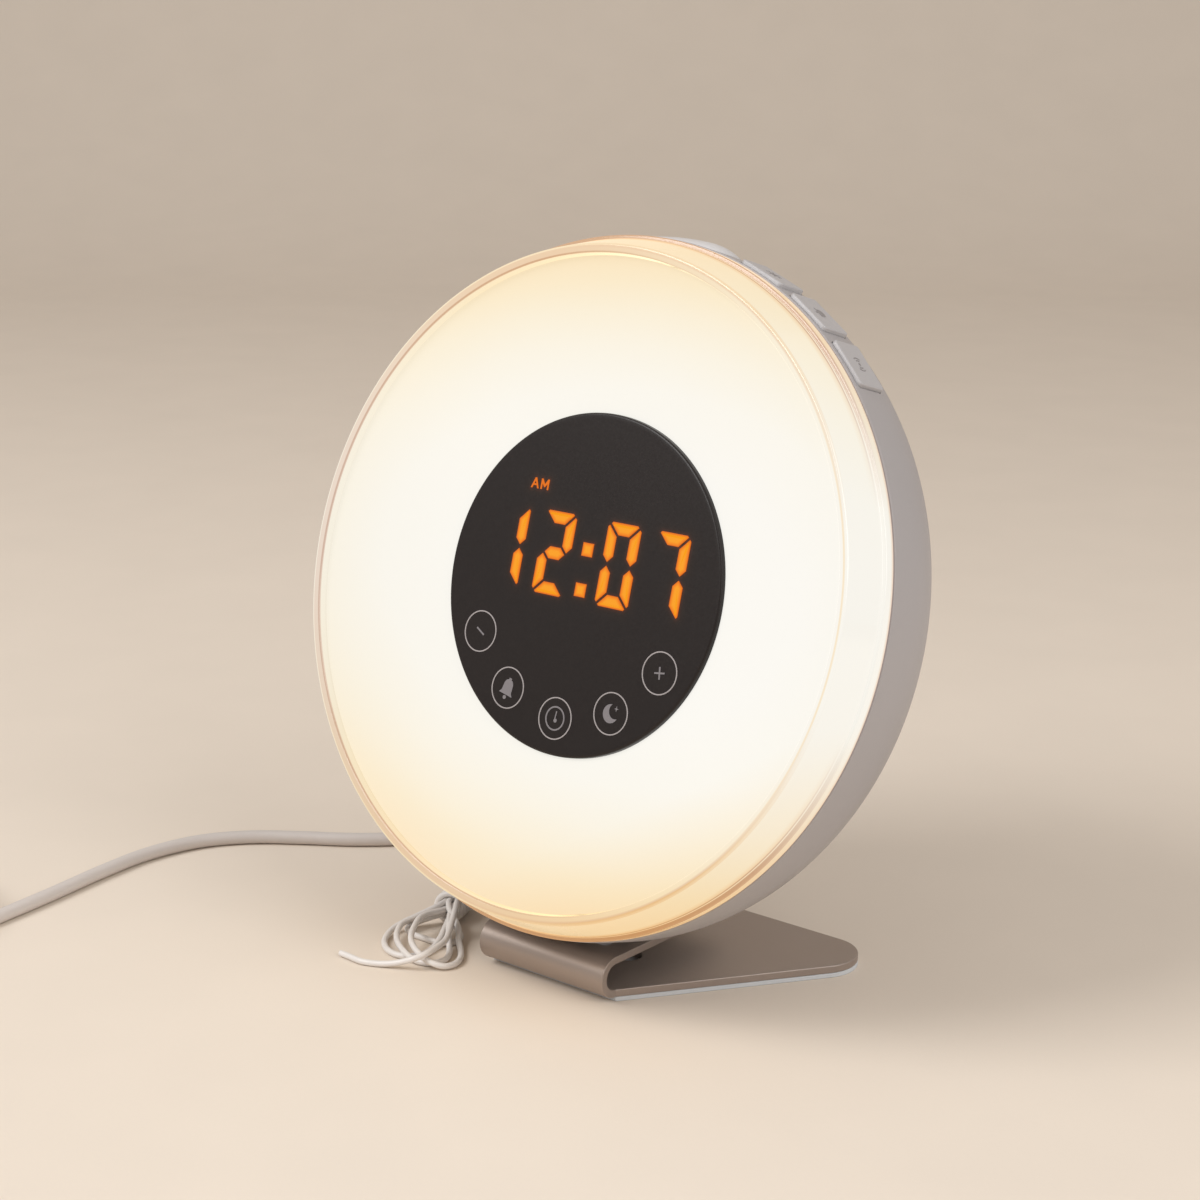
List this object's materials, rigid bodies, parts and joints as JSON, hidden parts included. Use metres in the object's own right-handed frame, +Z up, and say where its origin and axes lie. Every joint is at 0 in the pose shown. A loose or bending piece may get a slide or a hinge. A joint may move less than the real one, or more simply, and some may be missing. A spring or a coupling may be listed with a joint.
{
  "type": "sunrise alarm clock",
  "caption": "Round wake-up lamp with a lit milky face, black touch clock display, side keys and a folded metal stand.",
  "frame": {"origin": "middle of the foot pad's underside, on the table", "axes": "+Z up, the face looks along -Y and leans back, +X to the right of someone facing the clock"},
  "size_m": [0.2745, 0.2196, 0.1815],
  "materials": {
    "rim_clear": "clear acrylic, polished, warm edge glow",
    "face_milky": "milky lit plastic",
    "panel_black": "dark satin acrylic",
    "digit_amber": "lit amber segments",
    "icon_grey": "grey print",
    "module_black": "black display block",
    "board_green": "solder-masked board",
    "spring_steel": "bright spring wire",
    "chassis_white": "moulded white plastic",
    "board_white": "white solder mask",
    "led_yellow": "phosphor",
    "chip_black": "black epoxy",
    "screw_steel": "zinc plate",
    "ribbon_grey": "flat ribbon",
    "button_white": "satin white plastic",
    "housing_white": "satin white plastic",
    "speaker_black": "black painted",
    "cone_black": "treated paper",
    "cell_steel": "brushed can",
    "contact_gold": "plated spring",
    "stand_metal": "brushed warm grey sheet",
    "pad_grey": "pale soft foam",
    "plug_white": "soft white vinyl",
    "shell_steel": "nickel plate",
    "wire_white": "white wire jacket"
  },
  "bodies": {
    "clock": {"clear_rim": "rim_clear", "diffuser_face": "face_milky", "touch_panel": "panel_black", "display_digits": "digit_amber", "touch_icons": "icon_grey", "display_module": "module_black", "touch_board": "board_green", "touch_springs": "spring_steel", "display_holder": "chassis_white", "led_board": "board_white", "leds": "led_yellow", "front_chassis": "chassis_white", "main_board": "board_green", "board_chips": "chip_black", "board_screws": "screw_steel", "ribbon_cable": "ribbon_grey", "key_board": "board_green", "key_switches": "chip_black", "rear_housing": "housing_white", "housing_screws": "screw_steel", "speaker_frame": "speaker_black", "speaker_cone": "cone_black", "speaker_magnet": "screw_steel", "speaker_screws": "screw_steel", "coin_cell": "cell_steel", "battery_contacts": "contact_gold", "power_jack": "module_black", "stand": "stand_metal", "stand_screws": "screw_steel", "foot_pad": "pad_grey", "power_plug": "plug_white", "plug_strain_relief": "plug_white", "power_cord": "plug_white", "power_cord_coil": "plug_white", "usb_plug_body": "plug_white", "usb_plug_shell": "shell_steel", "aerial_grommet": "plug_white", "aerial_lead": "wire_white", "aerial_hank": "wire_white", "aerial_tail": "wire_white"},
    "snooze": {"snooze_button": "button_white"},
    "light_key": {"key_light": "button_white"},
    "alarm_key": {"key_alarm": "button_white"},
    "radio_key": {"key_radio": "button_white"},
    "battery_cover": {"battery_door": "housing_white"}
  },
  "joints": [
    {"name": "snooze_press", "type": "slide", "parent": "clock", "child": "snooze", "axis": [0, -0.2857, -0.9583], "range_m": [0, 0.001], "stiffness_N_per_m": 1200, "springref_m": -0.0004},
    {"name": "key_light_press", "type": "slide", "parent": "clock", "child": "light_key", "axis": [-0.3665, -0.2658, -0.8916], "range_m": [0, 0.0008], "stiffness_N_per_m": 1200, "springref_m": -0.0004},
    {"name": "key_alarm_press", "type": "slide", "parent": "clock", "child": "alarm_key", "axis": [-0.5417, -0.2401, -0.8055], "range_m": [0, 0.0008], "stiffness_N_per_m": 1200, "springref_m": -0.0004},
    {"name": "key_radio_press", "type": "slide", "parent": "clock", "child": "radio_key", "axis": [-0.6959, -0.2052, -0.6882], "range_m": [0, 0.0008], "stiffness_N_per_m": 1200, "springref_m": -0.0004},
    {"name": "battery_door_lift", "type": "slide", "parent": "clock", "child": "battery_cover", "axis": [0, 0.9583, -0.2857], "range_m": [0, 0.008]}
  ]
}
